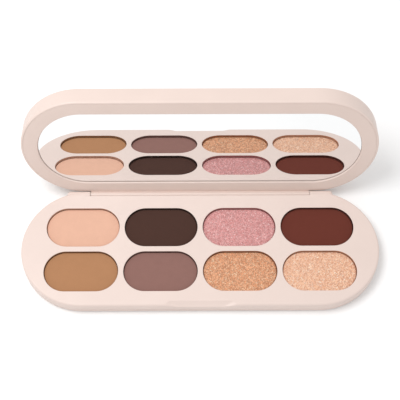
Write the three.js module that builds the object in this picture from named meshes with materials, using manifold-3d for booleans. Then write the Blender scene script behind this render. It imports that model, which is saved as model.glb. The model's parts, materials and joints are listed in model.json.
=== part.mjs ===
// Eyeshadow palette: a capsule-shaped compact with eight pressed shades and a mirror lid on a rear hinge.
// Millimetres, +X to the right, +Y to the back, +Z up. The origin is the centre of the base's underside.

import * as THREE from 'three';
import { mergeVertices } from 'three/addons/utils/BufferGeometryUtils.js';
import Module from 'manifold-3d';

// Base
const BASE_LENGTH = 152;
const BASE_DEPTH = 53.4;
const BASE_HEIGHT = 6.6;
const WALL = 1.5;
const TOP_PLATE = 1.2;
const TOP_EDGE_RADIUS = 1;
const BOTTOM_EDGE_RADIUS = 1.2;
const COVER_HEIGHT = 2.2;
const COVER_FLOOR = 1.4;
const SEAM = 0.1;
const LIP_WALL = 1;
const LIP_RISE = 1.2;

// Wells, pans and powder
const COLUMNS = 4;
const OPENING_LENGTH = 31.2;
const OPENING_DEPTH = 18.1;
const COLUMN_PITCH = 33.4;
const ROW_PITCH = 20.5;
const ROWS_CENTRE_Y = -0.8;
const PAN_OVERHANG = 0.5;
const PAN_WALL = 0.4;
const PAN_FLOOR = 0.4;
const PAN_PLAY = 0.1;
const NEST_WALL = 1;
const NEST_BOTTOM = 3.4;
const PAD_THICKNESS = 0.2;
const PAD_LENGTH = 20;
const PAD_DEPTH = 9;
const CAKE_GAP = 0.1;
const CAKE_RECESS = 1.05;
const CAKE_EDGE = 0.3;

// Lid, in its closed place over the base
const LID_INSET = 0.8;
const LID_GAP = 0.15;
const LID_HEIGHT = 9.3;
const LID_WALL = 1.4;
const LID_PLATE = 1.6;
const LID_EDGE_RADIUS = 1.2;
const LID_LIP = 0.95;
const LIP_EDGE_RADIUS = 0.6;
const RIM_THICKNESS = 1.4;
const RIM_EDGE_RADIUS = 0.35;
const MIRROR_LENGTH = 135.8;
const MIRROR_DEPTH = 38.7;
const MIRROR_Y = 0.25;
const MIRROR_THICKNESS = 1.2;
const MIRROR_RECESS = 0.6;
const MIRROR_BEVEL = 0.2;
const MIRROR_PLAY = 0.2;
const MIRROR_SLACK = 0.4;
const ADHESIVE_THICKNESS = 0.25;
const ADHESIVE_MARGIN = 4;
const GLUE_GAP = 0.05;
const FRAME_FLOOR = 1;

// Hinge
const OPEN_ANGLE = 105.7;
const AXIS_Y = 25.9;
const AXIS_Z = 4.8;
const KNUCKLE_RADIUS = 1.5;
const KNUCKLE_CLEARANCE = 0.3;
const NOTCH_HALF_LENGTH = 48;
const NOTCH_FRONT_Y = 24.7;
const TONGUE_CLEARANCE = 0.3;
const EAR_LENGTH = 10;
const PIN_RADIUS = 0.6;
const PIN_BORE_RADIUS = 0.7;
const PIN_IN_EAR = 8;
const PIN_IN_TONGUE = 4;
const TONGUE_FRONT = 0.2;
const BARREL_RADIUS = 1.1;
const HEEL_ANGLE = 11.5;
const HEEL_RISE = 3.3;

// Thumb scoop: a slanted bite out of the front edge, bounded by half an ellipse
const SCOOP_HALF_LENGTH = 13.9;
const SCOOP_INSET = 2.1;
const SCOOP_DROP = 1.4;
const SCOOP_FALL = 3.5;

// Magnets
const MAGNET_SIZE = [8, 2, 1.8];
const MAGNET_X = 34;
const MAGNET_Y = -22.8;
const MAGNET_PLAY = 0.1;
const MAGNET_BOSS_WALL = 1;

// Label on the underside
const LABEL_LENGTH = 84;
const LABEL_DEPTH = 14;
const LABEL_Y = 11;
const LABEL_RECESS = 0.3;
const LABEL_THICKNESS = 0.12;
const LABEL_MARGIN = 0.5;

// Steps on each curve
const OUTLINE_STEPS = 12;
const PAN_STEPS = 6;
const BORE_STEPS = 12;
const SCOOP_STEPS = 16;
const FILLET_RINGS = 5;
const SMALL_FILLET_RINGS = 2;
const CHAMFER_RINGS = 1;

// How far a cutting shape reaches past what it cuts
const BEYOND = 5;

// Heights and sizes that follow from the above
const TOP_Z = BASE_HEIGHT;
const RIM_Z = BASE_HEIGHT + LID_GAP;
const LID_TOP_Z = RIM_Z + LID_HEIGHT;
const LID_LENGTH = BASE_LENGTH - 2 * LID_INSET;
const LID_DEPTH = BASE_DEPTH - 2 * LID_INSET;
const PLATE_Z = TOP_Z - TOP_PLATE;
const PAN_TOP_Z = PLATE_Z - PAN_PLAY;
const PAN_LENGTH = OPENING_LENGTH + 2 * PAN_OVERHANG;
const PAN_DEPTH = OPENING_DEPTH + 2 * PAN_OVERHANG;
const PAD_Z = COVER_FLOOR + GLUE_GAP;
const PAN_Z = PAD_Z + PAD_THICKNESS + GLUE_GAP;
const CAKE_Z = PAN_Z + PAN_FLOOR + GLUE_GAP;
const CAKE_TOP_Z = TOP_Z - CAKE_RECESS;
const MIRROR_Z = RIM_Z + MIRROR_RECESS;
const ADHESIVE_Z = MIRROR_Z + MIRROR_THICKNESS + GLUE_GAP;
const RECESS_TOP_Z = ADHESIVE_Z + ADHESIVE_THICKNESS + GLUE_GAP;
const BASE_MAGNET_Z = PLATE_Z - GLUE_GAP - MAGNET_SIZE[2];
const LID_MAGNET_Z = RIM_Z + RIM_THICKNESS + GLUE_GAP;
const TONGUE_HALF_LENGTH = NOTCH_HALF_LENGTH - TONGUE_CLEARANCE;
const TROUGH_RADIUS = KNUCKLE_RADIUS + KNUCKLE_CLEARANCE;
const REAR_Y = BASE_DEPTH / 2;
const LID_REAR_Y = LID_DEPTH / 2;

const wasm = await Module();
wasm.setup();

// ---- Outlines ----

// A capsule outline: two straight sides joined by half circles.
function capsule(length, depth, x = 0, y = 0) {
  const r = depth / 2;
  const reach = length / 2 - r;
  const outline = new THREE.Shape();
  outline.moveTo(x - reach, y - r);
  outline.lineTo(x + reach, y - r);
  outline.absarc(x + reach, y, r, -Math.PI / 2, Math.PI / 2);
  outline.lineTo(x - reach, y + r);
  outline.absarc(x - reach, y, r, Math.PI / 2, 1.5 * Math.PI);
  return outline;
}

function disc(radius, x = 0, y = 0) {
  const outline = new THREE.Shape();
  outline.absarc(x, y, radius, 0, 2 * Math.PI);
  return outline;
}

// An outline through straight corners, each [x, y].
function polygon(corners) {
  return new THREE.Shape(corners.map(([x, y]) => new THREE.Vector2(x, y)));
}

// ---- Solids ----

// A closed three.js geometry as a solid that can be joined and cut.
function solid(geometry) {
  let closed = geometry.index ? geometry.toNonIndexed() : geometry;
  closed.deleteAttribute('normal');
  closed.deleteAttribute('uv');
  closed = mergeVertices(closed);
  return new wasm.Manifold(new wasm.Mesh({
    numProp: 3,
    vertProperties: new Float32Array(closed.attributes.position.array),
    triVerts: new Uint32Array(closed.index.array),
  }));
}

// An upright slab between two heights. round softens both rims, and steps sets how finely.
function slab(outline, low, high, { round = 0, steps = OUTLINE_STEPS, rings = SMALL_FILLET_RINGS } = {}) {
  const geometry = new THREE.ExtrudeGeometry(outline, {
    depth: high - low - 2 * round,
    curveSegments: steps,
    bevelEnabled: round > 0,
    bevelThickness: round,
    bevelSize: round,
    bevelOffset: -round,
    bevelSegments: rings,
  });
  geometry.translate(0, 0, low + round);
  return solid(geometry);
}

// A bar along X whose section is an outline in the YZ plane, between two values of x.
function bar(section, left, right, steps = OUTLINE_STEPS) {
  const geometry = new THREE.ExtrudeGeometry(section, {
    depth: right - left,
    curveSegments: steps,
    bevelEnabled: false,
  });
  geometry.rotateX(Math.PI / 2);
  geometry.rotateZ(Math.PI / 2);
  geometry.translate(left, 0, 0);
  return solid(geometry);
}

function block(low, high) {
  const size = high.map((value, i) => value - low[i]);
  const geometry = new THREE.BoxGeometry(...size);
  geometry.translate(...high.map((value, i) => (value + low[i]) / 2));
  return solid(geometry);
}

// A slab with only its upper rim softened: the lower part of a taller one is cut away.
function roundedTop(outline, low, high, radius, options = {}) {
  const tall = slab(outline, low - 2 * radius, high, { round: radius, ...options });
  return tall.intersect(slab(outline, low, high + BEYOND, options));
}

function roundedBottom(outline, low, high, radius, options = {}) {
  const tall = slab(outline, low, high + 2 * radius, { round: radius, ...options });
  return tall.intersect(slab(outline, low - BEYOND, high, options));
}

// A wall of even thickness just inside a capsule outline.
function ring(length, depth, thickness, low, high) {
  const outer = slab(capsule(length, depth), low, high);
  const inner = slab(capsule(length - 2 * thickness, depth - 2 * thickness), low - BEYOND, high + BEYOND);
  return outer.subtract(inner);
}

function bothSides(make) {
  return make(-1).add(make(1));
}

// ---- Looks ----

const nudePlastic = { color: 0xeed9ce, roughness: 0.42, metalness: 0 };
const darkPlastic = { color: 0xe6d0c4, roughness: 0.5, metalness: 0 };
const tinplate = { color: 0xc9c9c6, roughness: 0.35, metalness: 1 };
const tape = { color: 0xf2f0ea, roughness: 0.8, metalness: 0 };
const nickel = { color: 0xb9b8b4, roughness: 0.25, metalness: 1 };
const silvered = { color: 0xf4f6f8, roughness: 0.02, metalness: 1 };
const paper = { color: 0xf6f1ec, roughness: 0.7, metalness: 0 };

// Rear row then front row, each from left to right.
const SHADES = [
  [
    { name: 'shade_peach', color: 0xeebea5, roughness: 0.9, metalness: 0 },
    { name: 'shade_espresso', color: 0x4e3831, roughness: 0.9, metalness: 0 },
    { name: 'shade_rose_shimmer', color: 0xd59898, roughness: 0.45, metalness: 0.4 },
    { name: 'shade_burgundy', color: 0x6f3d32, roughness: 0.9, metalness: 0 },
  ],
  [
    { name: 'shade_caramel', color: 0xbb8763, roughness: 0.9, metalness: 0 },
    { name: 'shade_taupe', color: 0x917068, roughness: 0.9, metalness: 0 },
    { name: 'shade_copper_shimmer', color: 0xd49a78, roughness: 0.4, metalness: 0.5 },
    { name: 'shade_champagne_shimmer', color: 0xe8b99b, roughness: 0.4, metalness: 0.5 },
  ],
];

function part(name, body, look) {
  const mesh = body.getMesh();
  const geometry = new THREE.BufferGeometry();
  geometry.setAttribute('position', new THREE.BufferAttribute(mesh.vertProperties, 3));
  geometry.setIndex(new THREE.BufferAttribute(mesh.triVerts, 1));
  geometry.computeVertexNormals();
  const { color, roughness, metalness } = look;
  const node = new THREE.Mesh(geometry, new THREE.MeshStandardMaterial({ color, roughness, metalness }));
  node.name = name;
  return node;
}

// ---- Places ----

function wellPlace(row, column) {
  const x = (column - (COLUMNS - 1) / 2) * COLUMN_PITCH;
  const y = ROWS_CENTRE_Y + (0.5 - row) * ROW_PITCH;
  return [x, y];
}

function everyWell(make) {
  const made = [];
  for (let row = 0; row < SHADES.length; row += 1) {
    for (let column = 0; column < COLUMNS; column += 1) {
      made.push(make(row, column, ...wellPlace(row, column)));
    }
  }
  return made;
}

// A magnet, or with play around it the pocket that holds one, between two heights.
function magnetBox(side, low, high, play = 0) {
  const [length, depth] = MAGNET_SIZE;
  const x = side * MAGNET_X;
  return block(
    [x - length / 2 - play, MAGNET_Y - depth / 2 - play, low],
    [x + length / 2 + play, MAGNET_Y + depth / 2 + play, high],
  );
}

// ---- Hinge sections, in the YZ plane ----

// Where a straight line from the tray's top edge, above the notch, meets the ear's round back.
function earTangentAngle() {
  const dy = NOTCH_FRONT_Y - AXIS_Y;
  const dz = TOP_Z - AXIS_Z;
  return Math.atan2(dz, dy) - Math.acos(KNUCKLE_RADIUS / Math.hypot(dy, dz));
}

// The hinge ear: a slope falling from the tray's top onto a round knuckle around the axis.
function earSection() {
  const section = new THREE.Shape();
  section.moveTo(NOTCH_FRONT_Y - TOP_PLATE, AXIS_Z - KNUCKLE_RADIUS);
  section.lineTo(AXIS_Y, AXIS_Z - KNUCKLE_RADIUS);
  section.absarc(AXIS_Y, AXIS_Z, KNUCKLE_RADIUS, -Math.PI / 2, earTangentAngle());
  section.lineTo(NOTCH_FRONT_Y, TOP_Z);
  section.lineTo(NOTCH_FRONT_Y - TOP_PLATE, TOP_Z);
  section.closePath();
  return section;
}

// All that the tray loses above and behind the ears' slope.
function aboveEarSection() {
  const tangent = earTangentAngle();
  const y = AXIS_Y + KNUCKLE_RADIUS * Math.cos(tangent);
  const z = AXIS_Z + KNUCKLE_RADIUS * Math.sin(tangent);
  const fall = (TOP_Z - z) / (y - NOTCH_FRONT_Y);
  return polygon([
    [NOTCH_FRONT_Y, TOP_Z],
    [REAR_Y + BEYOND, TOP_Z - fall * (REAR_Y + BEYOND - NOTCH_FRONT_Y)],
    [REAR_Y + BEYOND, TOP_Z + BEYOND],
    [NOTCH_FRONT_Y, TOP_Z + BEYOND],
  ]);
}

// The trough that the lid's knuckle turns in: a round seat under a short upright lip, open to the back
// over a low sill that slopes like the underside of the open lid's heel.
function troughSection() {
  const lipAngle = Math.acos((NOTCH_FRONT_Y - AXIS_Y) / TROUGH_RADIUS);
  const sillAngle = -Math.acos((REAR_Y - AXIS_Y) / TROUGH_RADIUS);
  const sillZ = AXIS_Z + TROUGH_RADIUS * Math.sin(sillAngle);
  const slope = Math.tan(THREE.MathUtils.degToRad(OPEN_ANGLE - 90));
  const section = new THREE.Shape();
  section.moveTo(NOTCH_FRONT_Y, TOP_Z + BEYOND);
  section.lineTo(NOTCH_FRONT_Y, AXIS_Z + TROUGH_RADIUS * Math.sin(lipAngle));
  section.absarc(AXIS_Y, AXIS_Z, TROUGH_RADIUS, lipAngle, 2 * Math.PI + sillAngle);
  section.lineTo(REAR_Y + BEYOND, sillZ - slope * BEYOND);
  section.lineTo(REAR_Y + BEYOND, TOP_Z + BEYOND);
  section.closePath();
  return section;
}

// The lid's hinge tongue when closed: a web from the rim down into a barrel, which widens into a heel.
function tongueSection() {
  const frontAngle = Math.PI - Math.acos(TONGUE_FRONT / BARREL_RADIUS);
  const lowAngle = 1.5 * Math.PI;
  const heelAngle = THREE.MathUtils.degToRad(HEEL_ANGLE);
  const section = new THREE.Shape();
  section.moveTo(AXIS_Y - TONGUE_FRONT, RIM_Z + RIM_THICKNESS);
  section.lineTo(AXIS_Y - TONGUE_FRONT, AXIS_Z + BARREL_RADIUS * Math.sin(frontAngle));
  section.absarc(AXIS_Y, AXIS_Z, BARREL_RADIUS, frontAngle, lowAngle);
  for (let step = 1; step <= OUTLINE_STEPS; step += 1) {
    const angle = THREE.MathUtils.lerp(lowAngle, 2 * Math.PI + heelAngle, step / OUTLINE_STEPS);
    const radius = THREE.MathUtils.lerp(BARREL_RADIUS, KNUCKLE_RADIUS, step / OUTLINE_STEPS);
    section.lineTo(AXIS_Y + radius * Math.cos(angle), AXIS_Z + radius * Math.sin(angle));
  }
  section.lineTo(LID_REAR_Y, AXIS_Z + HEEL_RISE);
  section.closePath();
  return section;
}

// ---- Base ----

// An elliptical slab, tilted down to the front, whose underside slants from the tray's top to its wall.
function thumbScoop() {
  const outline = new THREE.Shape();
  outline.absellipse(0, 0, SCOOP_HALF_LENGTH, SCOOP_FALL, 0, 2 * Math.PI);
  const geometry = new THREE.ExtrudeGeometry(outline, {
    depth: BEYOND,
    curveSegments: SCOOP_STEPS,
    bevelEnabled: false,
  });
  geometry.rotateX(Math.atan2(SCOOP_DROP, SCOOP_INSET));
  geometry.translate(0, SCOOP_INSET - REAR_Y, TOP_Z);
  return solid(geometry);
}

// The block under the tray that the eight pans sit in, with a round corner about each end pan.
function panNest() {
  const grow = 2 * (PAN_PLAY + NEST_WALL);
  const length = (COLUMNS - 1) * COLUMN_PITCH + PAN_LENGTH + grow;
  const depth = ROW_PITCH + PAN_DEPTH + grow;
  const r = (PAN_DEPTH + grow) / 2;
  const outline = new THREE.Shape();
  const right = length / 2 - r;
  const back = ROWS_CENTRE_Y + depth / 2 - r;
  const front = ROWS_CENTRE_Y - depth / 2 + r;
  outline.absarc(right, front, r, -Math.PI / 2, 0);
  outline.absarc(right, back, r, 0, Math.PI / 2);
  outline.absarc(-right, back, r, Math.PI / 2, Math.PI);
  outline.absarc(-right, front, r, Math.PI, 1.5 * Math.PI);
  outline.closePath();
  return slab(outline, NEST_BOTTOM, PLATE_Z + GLUE_GAP, { steps: PAN_STEPS });
}

function magnetBoss(side, low, high, inner, outer) {
  const half = MAGNET_SIZE[0] / 2 + MAGNET_PLAY + MAGNET_BOSS_WALL;
  return block([side * MAGNET_X - half, outer, low], [side * MAGNET_X + half, inner, high]);
}

function baseTray() {
  const outline = capsule(BASE_LENGTH, BASE_DEPTH);
  const hollow = capsule(BASE_LENGTH - 2 * WALL, BASE_DEPTH - 2 * WALL);
  const wallInsideY = -BASE_DEPTH / 2 + WALL / 2;
  const nestY = ROWS_CENTRE_Y - (ROW_PITCH + PAN_DEPTH) / 2;
  let tray = roundedTop(outline, COVER_HEIGHT + SEAM, TOP_Z, TOP_EDGE_RADIUS, { rings: FILLET_RINGS });
  const troughWall = block(
    [-NOTCH_HALF_LENGTH - EAR_LENGTH - WALL, AXIS_Y - TROUGH_RADIUS - WALL, 0],
    [NOTCH_HALF_LENGTH + EAR_LENGTH + WALL, REAR_Y + BEYOND, TOP_Z],
  );
  tray = tray.subtract(slab(hollow, 0, PLATE_Z).subtract(troughWall));
  tray = tray.add(panNest());
  const boss = (side) => magnetBoss(side, BASE_MAGNET_Z, PLATE_Z + GLUE_GAP, nestY, wallInsideY);
  tray = tray.add(bothSides(boss));
  const earEnd = NOTCH_HALF_LENGTH + EAR_LENGTH;
  tray = tray.subtract(bar(aboveEarSection(), -BASE_LENGTH / 2, BASE_LENGTH / 2));
  tray = tray.add(bar(earSection(), -earEnd, earEnd, PAN_STEPS));
  tray = tray.subtract(bar(troughSection(), -NOTCH_HALF_LENGTH, NOTCH_HALF_LENGTH));
  tray = tray.subtract(thumbScoop());
  everyWell((row, column, x, y) => {
    const openingOutline = capsule(OPENING_LENGTH, OPENING_DEPTH, x, y);
    const pocketOutline = capsule(PAN_LENGTH + 2 * PAN_PLAY, PAN_DEPTH + 2 * PAN_PLAY, x, y);
    const opening = slab(openingOutline, 0, TOP_Z + BEYOND, { steps: PAN_STEPS });
    const pocket = slab(pocketOutline, 0, PLATE_Z, { steps: PAN_STEPS });
    tray = tray.subtract(opening).subtract(pocket);
  });
  tray = tray.subtract(bothSides((side) => magnetBox(side, 0, PLATE_Z, MAGNET_PLAY)));
  const boreLength = PIN_IN_EAR + PIN_IN_TONGUE;
  const bore = disc(PIN_BORE_RADIUS, AXIS_Y, AXIS_Z);
  return tray.subtract(bothSides((side) => {
    const middle = side * (NOTCH_HALF_LENGTH + PIN_IN_EAR - boreLength / 2);
    return bar(bore, middle - boreLength / 2, middle + boreLength / 2, BORE_STEPS);
  }));
}

function baseBottom() {
  const outline = capsule(BASE_LENGTH, BASE_DEPTH);
  const insideLength = BASE_LENGTH - 2 * (WALL + SEAM);
  const insideDepth = BASE_DEPTH - 2 * (WALL + SEAM);
  let cover = roundedBottom(outline, 0, COVER_HEIGHT, BOTTOM_EDGE_RADIUS, { rings: FILLET_RINGS });
  cover = cover.add(ring(insideLength, insideDepth, LIP_WALL, COVER_FLOOR, COVER_HEIGHT + LIP_RISE));
  const hollow = capsule(insideLength - 2 * LIP_WALL, insideDepth - 2 * LIP_WALL);
  cover = cover.subtract(slab(hollow, COVER_FLOOR, COVER_HEIGHT + LIP_RISE + BEYOND));
  const troughReach = NOTCH_HALF_LENGTH + EAR_LENGTH + WALL + SEAM;
  const troughFront = AXIS_Y - TROUGH_RADIUS - WALL - SEAM;
  cover = cover.subtract(block(
    [-troughReach, troughFront, COVER_HEIGHT],
    [troughReach, REAR_Y + BEYOND, COVER_HEIGHT + BEYOND],
  ));
  const recessOutline = capsule(LABEL_LENGTH, LABEL_DEPTH, 0, LABEL_Y);
  return cover.subtract(slab(recessOutline, -BEYOND, LABEL_RECESS, { steps: PAN_STEPS }));
}

function bottomLabel() {
  const outline = capsule(LABEL_LENGTH - 2 * LABEL_MARGIN, LABEL_DEPTH - 2 * LABEL_MARGIN, 0, LABEL_Y);
  const high = LABEL_RECESS - GLUE_GAP;
  return slab(outline, high - LABEL_THICKNESS, high, { steps: PAN_STEPS });
}

function panPad(x, y) {
  return slab(capsule(PAD_LENGTH, PAD_DEPTH, x, y), PAD_Z, PAD_Z + PAD_THICKNESS, { steps: PAN_STEPS });
}

function pan(x, y) {
  const fineness = { steps: PAN_STEPS, rings: CHAMFER_RINGS };
  const outside = capsule(PAN_LENGTH, PAN_DEPTH, x, y);
  const inside = capsule(PAN_LENGTH - 2 * PAN_WALL, PAN_DEPTH - 2 * PAN_WALL, x, y);
  const outer = roundedBottom(outside, PAN_Z, PAN_TOP_Z, PAN_WALL, fineness);
  return outer.subtract(slab(inside, PAN_Z + PAN_FLOOR, PAN_TOP_Z + BEYOND, fineness));
}

function cake(x, y) {
  const outline = capsule(OPENING_LENGTH - 2 * CAKE_GAP, OPENING_DEPTH - 2 * CAKE_GAP, x, y);
  return roundedTop(outline, CAKE_Z, CAKE_TOP_Z, CAKE_EDGE, { steps: PAN_STEPS, rings: CHAMFER_RINGS });
}

// ---- Hinge ----

// A pin that bridges the gap between an ear and the tongue, a little shorter than its bore.
function hingePin(side) {
  const length = PIN_IN_EAR + PIN_IN_TONGUE - 2 * TONGUE_CLEARANCE;
  const middle = side * (NOTCH_HALF_LENGTH + (PIN_IN_EAR - PIN_IN_TONGUE) / 2);
  return bar(disc(PIN_RADIUS, AXIS_Y, AXIS_Z), middle - length / 2, middle + length / 2, BORE_STEPS);
}

// ---- Lid, modelled closed ----

// A slab of the lid's outline, shrunk by an inset, with a soft lower rim.
function flange(inset, low, high, radius) {
  const outline = capsule(LID_LENGTH - 2 * inset, LID_DEPTH - 2 * inset);
  return roundedBottom(outline, low, high, radius);
}

// A block over the rear edge of the rim, where the tongue leaves the lid.
function rearGate(halfLength, low, high) {
  return block([-halfLength, 0, low], [halfLength, LID_REAR_Y + BEYOND, high]);
}

// The outer cover. Its wall ends in a thin lip round the frame, with a gate in the lip for the tongue.
function lidShell() {
  const shoulder = RIM_Z + RIM_THICKNESS + SEAM;
  const wall = capsule(LID_LENGTH, LID_DEPTH);
  const hollow = capsule(LID_LENGTH - 2 * LID_WALL, LID_DEPTH - 2 * LID_WALL);
  const rebate = capsule(LID_LENGTH - 2 * LID_LIP, LID_DEPTH - 2 * LID_LIP);
  let shell = roundedTop(wall, RIM_Z, LID_TOP_Z, LID_EDGE_RADIUS, { rings: FILLET_RINGS });
  shell = shell.intersect(flange(0, RIM_Z, LID_TOP_Z, LIP_EDGE_RADIUS));
  shell = shell.subtract(slab(hollow, RIM_Z, LID_TOP_Z - LID_PLATE));
  shell = shell.subtract(slab(rebate, RIM_Z - BEYOND, shoulder));
  return shell.subtract(rearGate(TONGUE_HALF_LENGTH + SEAM, RIM_Z - BEYOND, shoulder));
}

// The outline of the recess for the mirror, which has extra room on the hinge side, grown by a wall.
function mirrorWell(wall = 0) {
  const length = MIRROR_LENGTH + 2 * MIRROR_PLAY;
  const depth = MIRROR_DEPTH + 2 * MIRROR_PLAY + MIRROR_SLACK;
  return capsule(length + 2 * wall, depth + 2 * wall, 0, MIRROR_Y + MIRROR_SLACK / 2);
}

function lidFrame() {
  const rimTop = RIM_Z + RIM_THICKNESS;
  const inRim = RIM_Z + RIM_THICKNESS / 2;
  const wellFrontY = MIRROR_Y - MIRROR_DEPTH / 2 - MIRROR_PLAY;
  const skirtInset = LID_WALL + SEAM;
  const skirtLength = LID_LENGTH - 2 * skirtInset;
  const skirtDepth = LID_DEPTH - 2 * skirtInset;
  const bossTop = LID_MAGNET_Z + MAGNET_SIZE[2];
  const boss = (side) => magnetBoss(side, inRim, bossTop, wellFrontY, -skirtDepth / 2);
  const rearBar = flange(0, RIM_Z, rimTop, RIM_EDGE_RADIUS).intersect(
    rearGate(TONGUE_HALF_LENGTH, RIM_Z - BEYOND, rimTop + BEYOND),
  );
  let frame = flange(LID_LIP + SEAM, RIM_Z, rimTop, SEAM).add(rearBar);
  frame = frame.add(slab(mirrorWell(NEST_WALL), inRim, RECESS_TOP_Z + FRAME_FLOOR));
  frame = frame.add(ring(skirtLength, skirtDepth, LIP_WALL, inRim, rimTop + LIP_RISE));
  frame = frame.add(bothSides(boss));
  frame = frame.add(bar(tongueSection(), -TONGUE_HALF_LENGTH, TONGUE_HALF_LENGTH));
  frame = frame.subtract(slab(mirrorWell(), RIM_Z - BEYOND, RECESS_TOP_Z));
  frame = frame.subtract(bothSides((side) => magnetBox(side, rimTop, bossTop + BEYOND, MAGNET_PLAY)));
  const bore = disc(PIN_BORE_RADIUS, AXIS_Y, AXIS_Z);
  return frame.subtract(bothSides((side) => {
    const middle = side * (NOTCH_HALF_LENGTH - PIN_IN_TONGUE + BEYOND);
    return bar(bore, middle - BEYOND, middle + BEYOND, BORE_STEPS);
  }));
}

function mirror() {
  const outline = capsule(MIRROR_LENGTH, MIRROR_DEPTH, 0, MIRROR_Y);
  const bevel = { round: MIRROR_BEVEL, rings: CHAMFER_RINGS };
  return slab(outline, MIRROR_Z, MIRROR_Z + MIRROR_THICKNESS, bevel);
}

function mirrorAdhesive() {
  const length = MIRROR_LENGTH - 2 * ADHESIVE_MARGIN;
  const outline = capsule(length, MIRROR_DEPTH - 2 * ADHESIVE_MARGIN, 0, MIRROR_Y);
  return slab(outline, ADHESIVE_Z, ADHESIVE_Z + ADHESIVE_THICKNESS);
}

// ---- Assembly ----

const palette = new THREE.Group();
const base = new THREE.Group();
const lid = new THREE.Group();
palette.add(base, lid);

base.add(part('base_tray', baseTray(), nudePlastic));
base.add(part('base_bottom', baseBottom(), nudePlastic));
base.add(part('bottom_label', bottomLabel(), paper));
everyWell((row, column, x, y) => {
  const place = `${row === 0 ? 'rear' : 'front'}_${column + 1}`;
  base.add(part(`pan_pad_${place}`, panPad(x, y), tape));
  base.add(part(`pan_${place}`, pan(x, y), tinplate));
  base.add(part(SHADES[row][column].name, cake(x, y), SHADES[row][column]));
});
for (const [side, word] of [[-1, 'left'], [1, 'right']]) {
  const magnet = magnetBox(side, BASE_MAGNET_Z, BASE_MAGNET_Z + MAGNET_SIZE[2]);
  base.add(part(`base_magnet_${word}`, magnet, nickel));
  base.add(part(`hinge_pin_${word}`, hingePin(side), nickel));
}

// The lid turns about the hinge axis, so its pieces hang in a group whose origin is on that axis.
const lidPieces = new THREE.Group();
lidPieces.position.set(0, -AXIS_Y, -AXIS_Z);
lidPieces.add(part('lid_shell', lidShell(), nudePlastic));
lidPieces.add(part('lid_frame', lidFrame(), darkPlastic));
lidPieces.add(part('mirror', mirror(), silvered));
lidPieces.add(part('mirror_adhesive', mirrorAdhesive(), tape));
for (const [side, word] of [[-1, 'left'], [1, 'right']]) {
  const magnet = magnetBox(side, LID_MAGNET_Z, LID_MAGNET_Z + MAGNET_SIZE[2]);
  lidPieces.add(part(`lid_magnet_${word}`, magnet, nickel));
}
lid.add(lidPieces);
lid.position.set(0, AXIS_Y, AXIS_Z);
lid.rotation.x = -THREE.MathUtils.degToRad(OPEN_ANGLE);

export default palette;
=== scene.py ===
import json
import math

import bmesh
import bpy
from mathutils import Matrix, Vector, noise


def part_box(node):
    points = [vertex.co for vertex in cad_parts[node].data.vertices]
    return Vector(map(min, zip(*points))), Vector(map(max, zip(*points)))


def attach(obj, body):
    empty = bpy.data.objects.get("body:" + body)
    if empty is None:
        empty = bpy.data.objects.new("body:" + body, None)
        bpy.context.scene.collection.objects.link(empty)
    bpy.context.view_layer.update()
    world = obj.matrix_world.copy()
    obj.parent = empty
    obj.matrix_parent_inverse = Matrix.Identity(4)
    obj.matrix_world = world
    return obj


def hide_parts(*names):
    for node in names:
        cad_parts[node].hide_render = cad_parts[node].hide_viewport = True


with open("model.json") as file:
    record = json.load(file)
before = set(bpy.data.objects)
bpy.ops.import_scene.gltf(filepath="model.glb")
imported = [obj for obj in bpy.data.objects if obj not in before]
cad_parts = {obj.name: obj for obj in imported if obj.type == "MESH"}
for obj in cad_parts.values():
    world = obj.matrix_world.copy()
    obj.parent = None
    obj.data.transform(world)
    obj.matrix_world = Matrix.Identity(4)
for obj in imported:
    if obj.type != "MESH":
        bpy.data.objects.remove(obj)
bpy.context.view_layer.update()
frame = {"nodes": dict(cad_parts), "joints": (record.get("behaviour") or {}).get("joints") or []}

# An open eyeshadow palette: a capsule-shaped base with eight pressed shades, and a mirror lid on a
# rear hinge.
# Blender works in metres. Lengths below are in millimetres, and piece() turns each finished mesh into metres.
MM = 0.001

# Camera and light
LENS = 89.46
SENSOR = 36
CLIP_NEAR = 10
CLIP_FAR = 50000
CAMERA_AZIMUTH = -0.37
CAMERA_ELEVATION = 62.31
CAMERA_ROLL = 0.12
CAMERA_DISTANCE = 432.1
CAMERA_AIM_Y = 22.4
WORLD_LIGHT = 0.81
KEY_PLACE = (-175, 10, 440)
KEY_SIZE = 260
KEY_POWER = 1.08
FLOOR_SIZE = 6000

# Fine shape of the mouldings
WALL = 1.5
TOP_PLATE = 1.2
TOP_EDGE = 1.0
BOTTOM_EDGE = 1.2
SEAM_EDGE = 0.18
COVER_FLOOR = 1.4
LIP_WALL = 1.0
LIP_RISE = 1.2
LABEL_MARGIN = 0.5
LABEL_EDGE = 0.2
WELL_EDGE = 0.2
NOTCH_EDGE = 0.2
LID_WALL = 1.4
LID_PLATE = 1.6
LID_EDGE = 1.24
LID_LIP = 0.95
LIP_EDGE = 0.7
LIP_INNER_EDGE = 0.06
LIP_GAP = 0.045
RIM_THICKNESS = 1.4
RIM_EDGE = 0.35
MOUTH_EDGE = 0.35
MIRROR_PLAY = 0.2
MIRROR_SLACK = 0.4
MIRROR_GROWTH = 0.12
MIRROR_EDGE = 0.1
MIRROR_BEVEL = 0.15
FRAME_FLOOR = 1.0
GAP = 0.1
THIN_GAP = 0.05

# Hinge
KNUCKLE = 1.5
TROUGH = 1.8
NOTCH_HALF = 48
NOTCH_FRONT = 24.7
EAR_LENGTH = 10
EAR_ROUND = 1.5
EAR_TAPER = 0.35
EAR_STEPS = 10
EAR_BACK_STEPS = 14
TONGUE_HALF = 47.85
TONGUE_FRONT = 0.2
TONGUE_INSET = 0.02
BARREL = 1.1
HEEL_RISE = 3.3
HEEL_ANGLE = 11.5
PIN_BORE = 0.7
BORE_REACH = (44, 56)
BORE_SIDES = 24

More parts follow.
